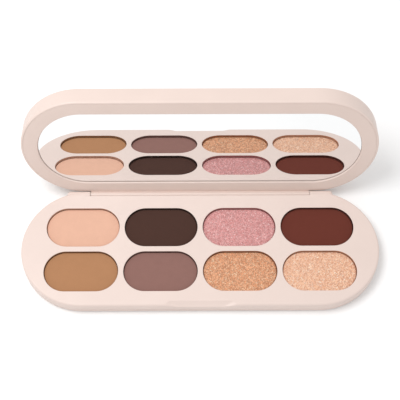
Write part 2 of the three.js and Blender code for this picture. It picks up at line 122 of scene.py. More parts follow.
# Thumb scoop: a slanted bite out of the front edge, bounded by half an ellipse
SCOOP_HALF_LENGTH = 13.9
SCOOP_INSET = 2.1
SCOOP_DROP = 1.4
SCOOP_FALL = 3.5
SCOOP_SOFTNESS = 2.4
SCOOP_BULGE = 0.12

# Pans under the tray
PAN_OVERHANG = 0.5
PAN_PLAY = 0.1
NEST_WALL = 1.0
NEST_BOTTOM = 3.4

# Pressed cakes: rounded at the edge, with a slightly uneven top
CAKE_EDGE = 0.4
CAKE_RING_STEP = 0.45
CAKE_RINGS = 18
CAKE_FIRM_RINGS = 3
CAKE_SEED = 7.3
CAKE_SINK = 0.03
BROAD_SCALE = 0.12
BROAD_WAVE = 0.02
SMALL_SCALE = 0.7
SMALL_WAVE = 0.012

# Steps on curves
ARC_STEPS = 56
WALL_STEP = 0.42
WALL_STEPS = 7
NEST_CORNER_STEPS = 12
TROUGH_STEPS = 20
TONGUE_STEPS = 16
RUN_STEPS = 200
WELL_ARC = 40
WELL_RUN = 24
LABEL_RUN = 40
EDGE_STEPS = 5
SEAM_STEPS = 3
OUTER_STEPS = 8
LID_EDGE_STEPS = 10
WELL_MOUTH_STEPS = 4
MIRROR_MOUTH_STEPS = 6

# A cutter's rounded mouth ends a few degrees short of flat, so that it crosses the surface cleanly
MOUTH_ANGLE = 84
NOTCH_EDGE_END = 4

# Edges with two steps: where the middle point lies, as shares of the edge
LABEL_EDGE_MIDDLE = 0.3
BEVEL_MIDDLE = (0.3, 0.4)

# Finishing: edges sharper than this stay sharp, and points nearer than this become one
SHARP_ANGLE = 33
WELD = 0.0005

# A well's wall gets its stain and painted shade up to this share of its rounded edge, where its normal rises
# by no more than this
PAINTED_EDGE = 0.6
UPRIGHT = 0.6

# How far one shape reaches past another that it cuts or joins
BEYOND = 5
OVERSHOOT = 1
BITE = 0.3

# Colours, linear. A shimmer has its powder colour, glint colour, flake size and contrast
FLAKE_TILT = 0.5
BASE_COLOUR = (0.725, 0.595, 0.54)
LID_COLOUR = (0.735, 0.602, 0.543)
POWDERS = {
    "shade_peach": (0.70, 0.415, 0.302),
    "shade_espresso": (0.066, 0.032, 0.0245),
    "shade_burgundy": (0.131, 0.033, 0.0225),
    "shade_caramel": (0.405, 0.203, 0.102),
    "shade_taupe": (0.253, 0.133, 0.113),
}
SHIMMERS = {
    "shade_rose_shimmer": ((0.5, 0.2, 0.193), (1.0, 0.76, 0.74), 0.4, 0.62),
    "shade_copper_shimmer": ((0.505, 0.212, 0.105), (1.0, 0.8, 0.56), 0.4, 0.88),
    "shade_champagne_shimmer": ((0.7, 0.35, 0.215), (1.0, 0.95, 0.82), 0.42, 0.7),
}

WELLS = [
    ["shade_peach", "shade_espresso", "shade_rose_shimmer", "shade_burgundy"],
    ["shade_caramel", "shade_taupe", "shade_copper_shimmer", "shade_champagne_shimmer"],
]


# ---- The frame's sizes, in millimetres ----

hinge = frame["joints"][0]
AXIS_Y = hinge["pos_m"][1] / MM
AXIS_Z = hinge["pos_m"][2] / MM
OPEN_ANGLE = math.radians(hinge["range_deg"][1])
OPENING = (
    Matrix.Translation((0, AXIS_Y, AXIS_Z))
    @ Matrix.Rotation(-OPEN_ANGLE, 4, "X")
    @ Matrix.Translation((0, -AXIS_Y, -AXIS_Z))
)


def box(node):
    low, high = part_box(node)
    return low / MM, high / MM


def closed_box(node):
    """The box of a lid piece when the lid is shut."""
    points = [OPENING.inverted() @ (v.co / MM) for v in frame["nodes"][node].data.vertices]
    low = Vector([min(p[i] for p in points) for i in range(3)])
    high = Vector([max(p[i] for p in points) for i in range(3)])
    return low, high


tray_low, tray_high = box("base_tray")
cover_low, cover_high = box("base_bottom")
shell_low, shell_high = closed_box("lid_shell")
mirror_low, mirror_high = closed_box("mirror")
tape_top = closed_box("mirror_adhesive")[1].z
cake_low, cake_high = box(WELLS[0][0])

BASE_LENGTH = cover_high.x - cover_low.x
BASE_DEPTH = cover_high.y - cover_low.y
LID_LENGTH = shell_high.x - shell_low.x
LID_DEPTH = shell_high.y - shell_low.y
REAR_Y = BASE_DEPTH / 2
TOP_Z = tray_high.z
SEAM_Z = tray_low.z
PLATE_Z = TOP_Z - TOP_PLATE
RIM_Z = shell_low.z
RIM_TOP_Z = RIM_Z + RIM_THICKNESS
CAKE_LENGTH = cake_high.x - cake_low.x
CAKE_DEPTH = cake_high.y - cake_low.y
WELL_LENGTH = CAKE_LENGTH + 2 * GAP
WELL_DEPTH = CAKE_DEPTH + 2 * GAP


# ---- Outlines and solids ----

def capsule(length, depth, z, centre=(0, 0), arc_steps=ARC_STEPS, run_steps=RUN_STEPS):
    """A ring of points on a capsule outline at height z, counterclockwise from above."""
    r = depth / 2
    reach = length / 2 - r
    points = []
    for side in (1, -1):
        for i in range(arc_steps):
            angle = math.pi * i / arc_steps - side * math.pi / 2
            points.append((side * reach + r * math.cos(angle), r * math.sin(angle)))
        for i in range(run_steps):
            points.append((side * reach * (1 - 2 * i / run_steps), side * r))
    return [Vector((centre[0] + x, centre[1] + y, z)) for x, y in points]


def rings(length, depth, profile, **where):
    """Capsule rings along a profile of (inset, height) pairs."""
    return [capsule(length - 2 * inset, depth - 2 * inset, z, **where) for inset, z in profile]


def bend(centre_inset, centre_z, radius, start, end, steps=EDGE_STEPS):
    """A round stretch of a profile, from one angle to another in degrees. 0 points inward and 90 up."""
    angles = [math.radians(start + (end - start) * i / steps) for i in range(steps + 1)]
    return [(centre_inset + radius * math.cos(a), centre_z + radius * math.sin(a)) for a in angles]


def arc(radius, start, end, steps, centre=None):
    """Points (y, z) on a round section, by default about the hinge axis."""
    y, z = centre or (AXIS_Y, AXIS_Z)
    angles = [math.radians(start + (end - start) * i / steps) for i in range(steps + 1)]
    return [(y + radius * math.cos(a), z + radius * math.sin(a)) for a in angles]


def loft(name, stack):
    """A closed solid through a stack of rings, flat at both ends."""
    shape = bmesh.new()
    made = [[shape.verts.new(point) for point in ring] for ring in stack]
    for low, high in zip(made, made[1:]):
        for i, vertex in enumerate(low):
            following = (i + 1) % len(low)
            shape.faces.new((vertex, low[following], high[following], high[i]))
    shape.faces.new(list(reversed(made[0])))
    shape.faces.new(made[-1])
    mesh = bpy.data.meshes.new(name)
    shape.to_mesh(mesh)
    shape.free()
    thing = bpy.data.objects.new(name, mesh)
    bpy.context.scene.collection.objects.link(thing)
    return thing


def bar(name, section, stations):
    """A bar along X through (y, z) sections. Each station is (x, scale about the section's first point)."""
    y0, z0 = section[0]
    stack = []
    for x, scale in stations:
        stack.append([Vector((x, y0 + (y - y0) * scale, z0 + (z - z0) * scale)) for y, z in section])
    return loft(name, stack)


def block(name, low, high):
    """A brick between two corners."""
    corners = [(low[0], low[1]), (high[0], low[1]), (high[0], high[1]), (low[0], high[1])]
    return loft(name, [[Vector((x, y, z)) for x, y in corners] for z in (low[2], high[2])])


def combine(thing, other, operation):
    """Joins other to thing, cuts it away or keeps what both share. other is used up."""
    modifier = thing.modifiers.new("combine", "BOOLEAN")
    modifier.operation = operation
    modifier.object = other
    modifier.solver = "EXACT"
    mesh = bpy.data.meshes.new_from_object(thing.evaluated_get(bpy.context.evaluated_depsgraph_get()))
    thing.modifiers.remove(modifier)
    thing.data = mesh
    bpy.data.objects.remove(other)
    return thing


def join(thing, *others):
    for other in others:
        combine(thing, other, "UNION")
    return thing


def cut(thing, *others):
    for other in others:
        combine(thing, other, "DIFFERENCE")
    return thing


# ---- Finishing a piece ----

def piece(thing, body, look, nodes, turn=None):
    """Turns a solid in millimetres into a finished piece that rides on a body."""
    mesh = thing.data
    shape = bmesh.new()
    shape.from_mesh(mesh)
    bmesh.ops.remove_doubles(shape, verts=shape.verts, dist=WELD)
    if turn:
        shape.transform(turn)
    shape.transform(Matrix.Scale(MM, 4))
    for face in shape.faces:
        face.smooth = True
    for edge in shape.edges:
        if len(edge.link_faces) == 2:
            edge.smooth = edge.calc_face_angle(0) < math.radians(SHARP_ANGLE)
    shape.to_mesh(mesh)
    shape.free()
    looks = look if isinstance(look, list) else [look]
    for material in looks:
        mesh.materials.append(material)
    modifier = thing.modifiers.new("even_shading", "WEIGHTED_NORMAL")
    modifier.keep_sharp = True
    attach(thing, body)
    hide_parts(*nodes)
    return thing


# ---- Materials ----

class Look:
    """A Principled material, with short calls for the nodes that vary it. Sizes are in millimetres."""

    def __init__(self, name, colour, roughness, metallic=0.0, specular=0.5):
        self.material = bpy.data.materials.new(name)
        self.material.use_nodes = True
        self.tree = self.material.node_tree
        self.shader = self.tree.nodes["Principled BSDF"]
        self.shader.inputs["Base Color"].default_value = (*colour, 1)
        self.shader.inputs["Roughness"].default_value = roughness
        self.shader.inputs["Metallic"].default_value = metallic
        self.shader.inputs["Specular IOR Level"].default_value = specular
        self.place = self.add("ShaderNodeTexCoord").outputs["Object"]

    def add(self, kind, **settings):
        node = self.tree.nodes.new(kind)
        for key, value in settings.items():
            setattr(node, key, value)
        return node

    def link(self, source, target):
        self.tree.links.new(source, target)

    def stretched(self, scale):
        """Coordinates stretched by a factor along each axis."""
        node = self.add("ShaderNodeMapping")
        node.inputs["Scale"].default_value = scale
        self.link(self.place, node.inputs["Vector"])
        return node.outputs["Vector"]

    def grain(self, size, detail=3, rough=0.5, place=None):
        """Cloudy noise with features of one size."""
        node = self.add("ShaderNodeTexNoise")
        node.inputs["Scale"].default_value = 1 / (size * MM)
        node.inputs["Detail"].default_value = detail
        node.inputs["Roughness"].default_value = rough
        self.link(place or self.place, node.inputs["Vector"])
        return node.outputs["Fac"]

    def flakes(self, size):
        """A random colour for each flake of a given size."""
        node = self.add("ShaderNodeTexVoronoi")
        node.inputs["Scale"].default_value = 1 / (size * MM)
        self.link(self.place, node.inputs["Vector"])
        return node.outputs["Color"]

    def ramp(self, source, *stops):
        """Colours or greys between stops of (place, value)."""
        node = self.add("ShaderNodeValToRGB")
        elements = node.color_ramp.elements
        while len(elements) < len(stops):
            elements.new(0.5)
        for element, (place, value) in zip(elements, stops):
            element.position = place
            element.color = (*value, 1) if isinstance(value, tuple) else (value, value, value, 1)
        self.link(source, node.inputs["Fac"])
        return node.outputs["Color"]

    def mix(self, amount, first, second):
        """Two colours mixed by an amount."""
        node = self.add("ShaderNodeMix", data_type="RGBA")
        inputs = {socket.name: socket for socket in node.inputs if socket.enabled}
        inputs["Factor"].default_value = amount
        self.link(first, inputs["A"])
        self.link(second, inputs["B"])
        return next(socket for socket in node.outputs if socket.enabled)

    def colour(self, source):
        self.link(source, self.shader.inputs["Base Color"])

    def between(self, source, low, high):
        """From low to high over the middle of a noise's range."""
        return self.ramp(source, (0.3, low), (0.7, high))

    def roughness(self, source, low, high):
        self.link(self.between(source, low, high), self.shader.inputs["Roughness"])

    def bump(self, *layers):
        """Relief from layers of (source, height)."""
        normal = None
        for source, height in layers:
            node = self.add("ShaderNodeBump")
            node.inputs["Strength"].default_value = 1
            node.inputs["Distance"].default_value = height * MM
            self.link(source, node.inputs["Height"])
            if normal:
                self.link(normal, node.inputs["Normal"])
            normal = node.outputs["Normal"]
        self.link(normal, self.shader.inputs["Normal"])
        return normal


def shaded(colour, factor):
    return tuple(min(1.0, channel * factor) for channel in colour)


def moulded_plastic(name, colour):
    """Satin moulded plastic: faint cloudiness, a fine eroded skin and slightly uneven gloss."""
    look = Look(name, colour, 0.42, specular=0.42)
    clouds = look.grain(14, detail=2)
    look.colour(look.between(clouds, shaded(colour, 0.985), shaded(colour, 1.012)))
    look.roughness(look.grain(2.5), 0.36, 0.48)
    look.bump((look.grain(0.16, detail=2), 0.0025), (look.grain(6), 0.006))
    return look.material


def pressed_powder(name, colour):
    """Matte pressed powder: fine grains, with softer and harder pressed patches."""
    look = Look(name, colour, 0.95, specular=0.12)
    grains = look.grain(0.22, detail=5, rough=0.7)
    patches = look.grain(3.2, detail=3)
    fine = look.ramp(grains, (0.3, shaded(colour, 0.9)), (0.5, colour), (0.72, shaded(colour, 1.1)))
    pressed = look.between(patches, shaded(colour, 0.93), shaded(colour, 1.05))
    look.colour(look.mix(0.3, fine, pressed))
    look.bump((grains, 0.03), (patches, 0.05))
    return look.material


def shimmer_powder(name, colour, glint, flake, contrast):
    """Pressed powder full of reflective flakes, each tilted its own way."""
    look = Look(name, colour, 0.4, metallic=0.15, specular=0.3)
    coarse = look.flakes(flake)
    fine = look.flakes(flake * 0.5)
    dark, light = shaded(colour, 1 - contrast * 0.5), shaded(colour, 1 + contrast)
    flecks = look.ramp(coarse, (0.12, dark), (0.45, colour), (0.78, light), (0.93, glint))
    dust = look.ramp(fine, (0.1, dark), (0.5, colour), (0.9, glint))
    look.colour(look.mix(0.42, flecks, dust))
    look.roughness(look.grain(flake), 0.3, 0.6)
    relief = look.bump((look.grain(0.25, detail=4), 0.03), (look.grain(2.6), 0.04))
    tilt = look.add("ShaderNodeVectorMath", operation="MULTIPLY_ADD")
    look.link(coarse, tilt.inputs[0])
    tilt.inputs[1].default_value = (FLAKE_TILT,) * 3
    tilt.inputs[2].default_value = (-FLAKE_TILT / 2,) * 3
    added = look.add("ShaderNodeVectorMath", operation="ADD")
    look.link(relief, added.inputs[0])
    look.link(tilt.outputs[0], added.inputs[1])
    unit = look.add("ShaderNodeVectorMath", operation="NORMALIZE")
    look.link(added.outputs[0], unit.inputs[0])
    look.link(unit.outputs[0], look.shader.inputs["Normal"])
    return look.material


def dusted_and_shaded_wall(name, plastic, powder):
    """The wall of a well, stained by the powder that rubs off on it, and painted darker than the powder as
    painted shade down in the well.
    """
    look = Look(name, powder, 0.85, specular=0.15)
    stain_and_shade = look.grain(0.8, detail=4)
    # Painted shade: half to three quarters of the powder's colour stands in for the shade inside the well,
    # with bare plastic showing through the stain in patches.
    look.colour(look.ramp(stain_and_shade, (0.2, shaded(powder, 0.5)), (0.75, shaded(powder, 0.75)), (0.95, plastic)))
    look.bump((look.grain(0.2), 0.01))
    return look.material


def silvered_glass(name):
    """A bright mirror with the faintest haze."""
    look = Look(name, (0.905, 0.912, 0.915), 0.0, metallic=1.0)
    haze = look.grain(30, detail=2)
    look.colour(look.between(haze, (0.9, 0.907, 0.91), (0.912, 0.918, 0.921)))
    look.roughness(haze, 0.0, 0.012)
    return look.material


def drawn_metal(name, colour, roughness):
    """Rolled or drawn metal, with fine lines along it."""
    look = Look(name, colour, roughness, metallic=1.0)
    lines = look.grain(0.6, detail=4, place=look.stretched((1, 12, 12)))
    look.colour(look.between(lines, shaded(colour, 0.9), shaded(colour, 1.06)))
    look.roughness(lines, roughness * 0.8, roughness * 1.3)
    look.bump((lines, 0.003))
    return look.material


def foam_tape(name, colour):
    """Sticky sheet: a soft open surface with small pores."""
    look = Look(name, colour, 0.85, specular=0.25)
    pores = look.grain(0.35, detail=4, rough=0.65)
    look.colour(look.ramp(pores, (0.3, shaded(colour, 0.86)), (0.6, colour)))
    look.bump((pores, 0.03))
    return look.material


def label_paper(name, colour):
    """Uncoated paper with short fibres and no print."""
    look = Look(name, colour, 0.8, specular=0.3)
    fibres = look.grain(0.5, detail=5, place=look.stretched((1, 5, 1)))
    look.colour(look.ramp(fibres, (0.3, shaded(colour, 0.95)), (0.65, colour)))
    look.bump((fibres, 0.006))
    return look.material


def floor_paint(name):
    """Plain pale studio floor."""
    look = Look(name, (0.93, 0.93, 0.93), 0.9, specular=0.1)
    look.colour(look.between(look.grain(60), (0.925, 0.925, 0.925), (0.935, 0.935, 0.935)))
    return look.material


def powder_colour(name):
    return POWDERS[name] if name in POWDERS else SHIMMERS[name][0]


def powder_look(name):
    if name in POWDERS:
        return pressed_powder(name, POWDERS[name])
    colour, glint, flake, contrast = SHIMMERS[name]
    return shimmer_powder(name, colour, glint, flake, contrast)


# ---- Camera, light and floor ----

def look_from(azimuth, elevation):
    a, e = math.radians(azimuth), math.radians(elevation)
    return Vector((math.sin(a) * math.cos(e), -math.cos(a) * math.cos(e), math.sin(e)))


def make_camera():
    data = bpy.data.cameras.new("camera")
    data.lens = LENS
    data.sensor_width = SENSOR
    data.clip_start = CLIP_NEAR * MM
    data.clip_end = CLIP_FAR * MM
    camera = bpy.data.objects.new("camera", data)
    bpy.context.scene.collection.objects.link(camera)
    back = look_from(CAMERA_AZIMUTH, CAMERA_ELEVATION)
    aim = Vector((0, CAMERA_AIM_Y, TOP_Z)) * MM
    facing = (-back).to_track_quat("-Z", "Y").to_matrix().to_4x4()
    turned = facing @ Matrix.Rotation(math.radians(CAMERA_ROLL), 4, "Z")
    camera.matrix_world = Matrix.Translation(aim + back * CAMERA_DISTANCE * MM) @ turned
    bpy.context.scene.camera = camera


def make_world():
    world = bpy.data.worlds.new("studio")
    world.use_nodes = True
    background = world.node_tree.nodes["Background"]
    background.inputs["Color"].default_value = (1, 1, 1, 1)
    background.inputs["Strength"].default_value = WORLD_LIGHT
    bpy.context.scene.world = world
    bpy.context.scene.view_settings.view_transform = "Standard"


def make_key():
    """A large soft lamp, up to the left, that faces the origin."""
    data = bpy.data.lights.new("key", "AREA")
    data.shape = "DISK"
    data.size = KEY_SIZE * MM
    data.energy = KEY_POWER
    key = bpy.data.objects.new("key", data)
    key.location = Vector(KEY_PLACE) * MM
    key.rotation_euler = Vector(KEY_PLACE).to_track_quat("Z", "Y").to_euler()
    bpy.context.scene.collection.objects.link(key)


def make_floor():
    half = FLOOR_SIZE / 2
    corners = [Vector((x * half, y * half, 0)) * MM for x, y in ((-1, -1), (1, -1), (1, 1), (-1, 1))]
    mesh = bpy.data.meshes.new("floor")
    mesh.from_pydata(corners, [], [(0, 1, 2, 3)])
    mesh.materials.append(floor_paint("floor_paint"))
    floor = bpy.data.objects.new("floor", mesh)
    bpy.context.scene.collection.objects.link(floor)


# ---- Places ----

def well_centre(name):
    low, high = box(name)
    return ((low.x + high.x) / 2, (low.y + high.y) / 2)


def every_well():
    return [(name, well_centre(name)) for row in WELLS for name in row]


def well_rings(length, depth, profile, centre):
    return rings(length, depth, profile, centre=centre, arc_steps=WELL_ARC, run_steps=WELL_RUN)


# ---- Base ----

def smooth_step(t):
    t = min(1, max(0, t))
    return t * t * (3 - 2 * t)


def scooped(stack, levels):
    """Moves the front edge's points onto the slant of the thumb scoop. levels is the stack's profile."""
    top = len(levels) - 1
    first = next(i for i, (inset, z) in enumerate(levels) if i > 1 and z >= TOP_Z - SCOOP_DROP)
    for index in range(first, len(levels)):
        down = (top - index) / (top - first)
        fall = down * math.hypot(SCOOP_INSET, SCOOP_DROP) / SCOOP_FALL
        half = SCOOP_HALF_LENGTH * math.sqrt(max(0, 1 - fall * fall))
        inset = SCOOP_INSET * (1 - down) + SCOOP_BULGE * math.sin(math.pi * down)
        z = TOP_Z - SCOOP_DROP * down
        for point in stack[index]:
            if point.y < 0 and abs(point.x) < SCOOP_HALF_LENGTH + SCOOP_SOFTNESS:
                weight = smooth_step((half - abs(point.x)) / SCOOP_SOFTNESS + 0.5)
                point.y += weight * (inset - REAR_Y - point.y)
                point.z += weight * (z - point.z)
    return stack


def ear_tangent():
    """The angle on the knuckle where the slope from the tray's top edge touches it."""
    dy, dz = NOTCH_FRONT - AXIS_Y, TOP_Z - AXIS_Z
    return math.degrees(math.atan2(dz, dy) - math.acos(KNUCKLE / math.hypot(dy, dz)))


def ear_section():
    round_back = arc(KNUCKLE, -90, ear_tangent(), EAR_BACK_STEPS)
    inner = NOTCH_FRONT - TOP_PLATE
    return [(inner, AXIS_Z - KNUCKLE), *round_back, (NOTCH_FRONT, TOP_Z), (inner, TOP_Z)]


def ear(side):
    """A hinge ear whose outer end is rounded off."""
    inner = NOTCH_HALF - OVERSHOOT
    outer = NOTCH_HALF + EAR_LENGTH
    stations = [(inner, 1), (outer - EAR_ROUND, 1)]
    for i in range(1, EAR_STEPS + 1):
        t = i / EAR_STEPS
        stations.append((outer - EAR_ROUND * (1 - t), 1 - EAR_TAPER * (1 - math.sqrt(1 - t * t))))
    stations = [(side * x, scale) for x, scale in stations]
    return bar("ear", ear_section(), sorted(stations))


def above_ears():
    """All that the tray loses above and behind the slope of the ears."""
    y, z = arc(KNUCKLE, ear_tangent(), ear_tangent(), 1)[0]
    fall = (TOP_Z - z) / (y - NOTCH_FRONT)
    back = REAR_Y + BEYOND
    section = [
        (NOTCH_FRONT, TOP_Z),
        (back, TOP_Z - fall * (back - NOTCH_FRONT)),
        (back, TOP_Z + BEYOND),
        (NOTCH_FRONT, TOP_Z + BEYOND),
    ]
    return bar("above_ears", section, [(-BASE_LENGTH / 2, 1), (BASE_LENGTH / 2, 1)])


def trough():
    """The hollow that the lid's knuckle turns in, open to the back over a low sill."""
    lip = math.degrees(math.acos((NOTCH_FRONT - AXIS_Y) / TROUGH))
    sill = math.degrees(-math.acos((REAR_Y - AXIS_Y) / TROUGH))
    sill_z = AXIS_Z + TROUGH * math.sin(math.radians(sill))
    slope = math.tan(OPEN_ANGLE - math.pi / 2)
    corner = (NOTCH_FRONT - NOTCH_EDGE, TOP_Z - NOTCH_EDGE)
    rounded = arc(NOTCH_EDGE, 90, NOTCH_EDGE_END, EDGE_STEPS, centre=corner)
    section = [
        (NOTCH_FRONT - NOTCH_EDGE, TOP_Z + BEYOND),
        *rounded,
        *arc(TROUGH, lip, 360 + sill, TROUGH_STEPS),
        (REAR_Y + BEYOND, sill_z - slope * BEYOND),
        (REAR_Y + BEYOND, TOP_Z + BEYOND),
    ]
    return bar("trough", section, [(-NOTCH_HALF, 1), (NOTCH_HALF, 1)])


def pan_nest():
    """The block under the tray that the eight pans sit in."""
    grow = 2 * (PAN_OVERHANG + PAN_PLAY + NEST_WALL)
    centres = [centre for name, centre in every_well()]
    length = max(x for x, y in centres) - min(x for x, y in centres) + WELL_LENGTH + grow
    spread = max(y for x, y in centres) - min(y for x, y in centres)
    middle = sum(y for x, y in centres) / len(centres)
    r = (WELL_DEPTH + grow) / 2
    reach_x, reach_y = length / 2 - r, spread / 2
    outline = []
    for corner, (sx, sy) in enumerate(((1, -1), (1, 1), (-1, 1), (-1, -1))):
        for i in range(NEST_CORNER_STEPS + 1):
            angle = math.radians(-90 + 90 * corner + 90 * i / NEST_CORNER_STEPS)
            outline.append((sx * reach_x + r * math.cos(angle), middle + sy * reach_y + r * math.sin(angle)))
    return loft("nest", [[Vector((x, y, z)) for x, y in outline] for z in (NEST_BOTTOM, PLATE_Z + THIN_GAP)])


def well_cutter(centre):
    """A well through the top plate with a rounded edge, and below it the pocket for its pan."""
    pocket = -(PAN_OVERHANG + PAN_PLAY)
    mouth = bend(-WELL_EDGE, TOP_Z - WELL_EDGE, WELL_EDGE, 0, MOUTH_ANGLE, WELL_MOUTH_STEPS)
    profile = [(pocket, 0), (pocket, PLATE_Z), (0, PLATE_Z), *mouth, (-WELL_EDGE, TOP_Z + OVERSHOOT)]
    return loft("well", well_rings(WELL_LENGTH, WELL_DEPTH, profile, centre))


def magnet_boss(low, high, inner_y, outer_y, bottom, top):
    """The walls that hold a magnet between two others."""
    wall = GAP + NEST_WALL
    return block("boss", (low.x - wall, outer_y, bottom), (high.x + wall, inner_y, top))


def magnet_pocket(low, high, bottom, top):
    return block("pocket", (low.x - GAP, low.y - GAP, bottom), (high.x + GAP, high.y + GAP, top))


def bore(side):
    """The hole that a hinge pin sits in."""
    inner, outer = BORE_REACH
    section = arc(PIN_BORE, 0, 360 - 360 / BORE_SIDES, BORE_SIDES - 1)
    return bar("bore", section, sorted([(side * inner, 1), (side * outer, 1)]))


def tray_skin():
    """The tray's top plate and side wall, with the thumb scoop in the front edge."""
    levels = [SEAM_Z + SEAM_EDGE + WALL_STEP * i for i in range(1, WALL_STEPS + 1)]
    profile = [
        (WALL, PLATE_Z),
        (WALL, SEAM_Z),
        *bend(SEAM_EDGE, SEAM_Z + SEAM_EDGE, SEAM_EDGE, 270, 180, SEAM_STEPS),
        *[(0, z) for z in levels],
        *bend(TOP_EDGE, TOP_Z - TOP_EDGE, TOP_EDGE, 180, 90, OUTER_STEPS),
    ]
    return loft("tray", scooped(rings(BASE_LENGTH, BASE_DEPTH, profile), profile))


def hinge_wall():
    """The thick rear wall that the trough and the pin bores are cut into."""
    reach = NOTCH_HALF + EAR_LENGTH + WALL
    front = AXIS_Y - TROUGH - WALL
    wall = block("wall", (-reach, front, SEAM_Z), (reach, REAR_Y - WALL / 2, TOP_Z - TOP_EDGE))
    outer = loft("outer", rings(BASE_LENGTH, BASE_DEPTH, [(BITE, SEAM_Z), (BITE, TOP_Z - TOP_EDGE)]))
    return combine(wall, outer, "INTERSECT")


def base_tray():
    tray = tray_skin()
    inner_y = min(y for name, (x, y) in every_well()) - WELL_DEPTH / 2 - PAN_OVERHANG
    outer_y = WALL / 2 - REAR_Y
    top = PLATE_Z + THIN_GAP
    magnets = [box("base_magnet_left"), box("base_magnet_right")]
    bosses = [magnet_boss(*magnet, inner_y, outer_y, magnet[0].z, top) for magnet in magnets]
    join(tray, hinge_wall(), pan_nest(), *bosses)
    cut(tray, above_ears())
    join(tray, ear(-1), ear(1))
    cut(tray, trough(), bore(-1), bore(1))
    cut(tray, *[well_cutter(centre) for name, centre in every_well()])
    cut(tray, *[magnet_pocket(*magnet, 0, PLATE_Z) for magnet in magnets])
    return tray


def label_recess():
    """The shallow recess under the base, with a rounded mouth, that holds the label."""
    low, high = box("bottom_label")
    middle = ((low.x + high.x) / 2, (low.y + high.y) / 2)
    size = (high.x - low.x + 2 * LABEL_MARGIN, high.y - low.y + 2 * LABEL_MARGIN)
    flare = [
        (-LABEL_EDGE, -OVERSHOOT),
        (-LABEL_EDGE, 0),
        (-LABEL_EDGE_MIDDLE * LABEL_EDGE, LABEL_EDGE_MIDDLE * LABEL_EDGE),
        (0, LABEL_EDGE),
        (0, high.z + THIN_GAP),
    ]
    outlines = rings(*size, flare, centre=middle, arc_steps=WELL_ARC, run_steps=LABEL_RUN)
    return loft("recess", outlines)


def base_cover():
    """The bottom of the base, with a lip that stands inside the tray's wall."""
    lip = WALL + GAP
    lip_top = cover_high.z
    top = SEAM_Z - GAP
    profile = [
        *bend(BOTTOM_EDGE, BOTTOM_EDGE, BOTTOM_EDGE, 270, 180, OUTER_STEPS),
        *bend(SEAM_EDGE, top - SEAM_EDGE, SEAM_EDGE, 180, 90, SEAM_STEPS),
        (lip, top),
        (lip, lip_top),
        (lip + LIP_WALL, lip_top),
        (lip + LIP_WALL, COVER_FLOOR),
    ]
    cover = loft("cover", rings(BASE_LENGTH, BASE_DEPTH, profile))
    reach = NOTCH_HALF + EAR_LENGTH + WALL + GAP
    front = AXIS_Y - TROUGH - WALL - GAP
    clear = block("clear", (-reach, front, top), (reach, REAR_Y + BEYOND, TOP_Z))
    return cut(cover, clear, label_recess())


def cake(name, centre):
    """A pressed cake with a rounded edge and a slightly uneven top."""
    low, high = box(name)
    shoulder = high.z - CAKE_EDGE
    sides = [(0, low.z), (0, shoulder), *bend(CAKE_EDGE, shoulder, CAKE_EDGE, 165, 90)]
    tops = [(CAKE_EDGE + CAKE_RING_STEP * i, high.z) for i in range(1, CAKE_RINGS + 1)]
    stack = well_rings(CAKE_LENGTH, CAKE_DEPTH, sides + tops, centre)
    seed = Vector((centre[0], centre[1], CAKE_SEED))
    for ring in stack[CAKE_FIRM_RINGS:]:
        for point in ring:
            broad = noise.noise((point + seed) * BROAD_SCALE)
            small = noise.noise((point - seed) * SMALL_SCALE)
            point.z -= CAKE_SINK + BROAD_WAVE * broad + SMALL_WAVE * small
    return loft(name, stack)


# ---- Lid, modelled shut ----

def lid_gate(half, low, high):
    """A block over the rear edge of the rim, where the tongue leaves the lid."""
    return block("gate", (-half, 0, low), (half, LID_DEPTH / 2 + BEYOND, high))


def lid_shell():
    """The outer cover, whose wall ends in a thin lip round the frame."""
    shoulder = RIM_TOP_Z + GAP
    profile = [
        (LID_WALL, shell_high.z - LID_PLATE),
        (LID_WALL, shoulder),
        (LID_LIP, shoulder),
        *bend(LID_LIP - LIP_INNER_EDGE, RIM_Z + LIP_INNER_EDGE, LIP_INNER_EDGE, 360, 270, SEAM_STEPS),
        *bend(LIP_EDGE, RIM_Z + LIP_EDGE, LIP_EDGE, 270, 180, OUTER_STEPS),
        *bend(LID_EDGE, shell_high.z - LID_EDGE, LID_EDGE, 180, 90, LID_EDGE_STEPS),
    ]
    shell = loft("shell", rings(LID_LENGTH, LID_DEPTH, profile))
    return cut(shell, lid_gate(TONGUE_HALF + LIP_GAP, RIM_Z - BEYOND, shoulder))


def tongue():
    """The web that hangs from the rim into a barrel, which widens into a heel behind."""
    front = 180 - math.degrees(math.acos(TONGUE_FRONT / BARREL))
    widening = []
    for i in range(1, TONGUE_STEPS + 1):
        angle = math.radians(270 + (90 + HEEL_ANGLE) * i / TONGUE_STEPS)
        radius = BARREL + (KNUCKLE - BARREL) * i / TONGUE_STEPS
        widening.append((AXIS_Y + radius * math.cos(angle), AXIS_Z + radius * math.sin(angle)))
    back = LID_DEPTH / 2 - TONGUE_INSET
    root = RIM_TOP_Z - BITE
    section = [
        (AXIS_Y - TONGUE_FRONT, root),
        *arc(BARREL, front, 270, TONGUE_STEPS),
        *widening,
        (back, AXIS_Z + HEEL_RISE),
        (back, root),
    ]
    return bar("tongue", section, [(-TONGUE_HALF, 1), (TONGUE_HALF, 1)])


def flange(inset, edge):
    """The flat rim of the frame, shrunk by an inset, with a soft lower edge."""
    profile = [
        *bend(inset + edge, RIM_Z + edge, edge, 270, 180),
        (inset, RIM_TOP_Z),
    ]
    return loft("rim", rings(LID_LENGTH, LID_DEPTH, profile))


def skirt(bottom):
    """The thin wall on the frame that stands inside the cover's wall."""
    inset = LID_WALL + GAP
    top = RIM_TOP_Z + LIP_RISE
    profile = [(inset, bottom), (inset, top), (inset + LIP_WALL, top), (inset + LIP_WALL, bottom)]
    return loft("skirt", rings(LID_LENGTH, LID_DEPTH, profile))


